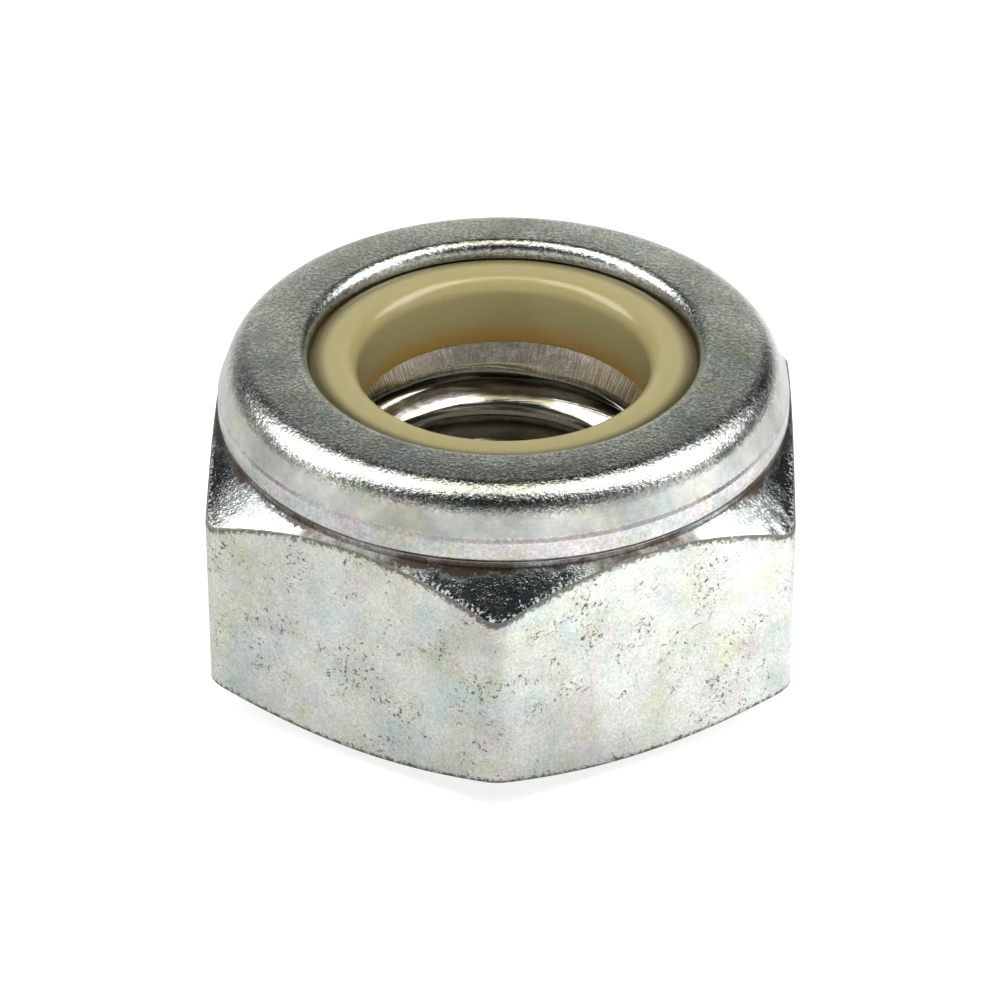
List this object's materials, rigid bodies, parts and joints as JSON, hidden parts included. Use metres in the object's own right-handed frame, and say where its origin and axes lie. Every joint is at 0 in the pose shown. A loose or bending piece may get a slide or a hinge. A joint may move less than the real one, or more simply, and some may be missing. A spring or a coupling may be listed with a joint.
{
  "type": "lock nut",
  "caption": "Hexagon lock nut for a metric bolt, zinc-plated steel with a crimped collar that holds a pale plastic locking ring over the thread.",
  "frame": {"origin": "centre of the bearing face that the nut stands on", "axes": "+Z along the thread axis, from the bearing face towards the crimped collar; +Y through a corner of the hexagon; +X square to a pair of flats"},
  "size_m": [0.017, 0.0194, 0.0097],
  "materials": {
    "zinc_plated_steel": "satin",
    "polyamide": "satin"
  },
  "bodies": {
    "root": {"nut_body": "zinc_plated_steel", "insert_ring": "polyamide"}
  },
  "joints": []
}
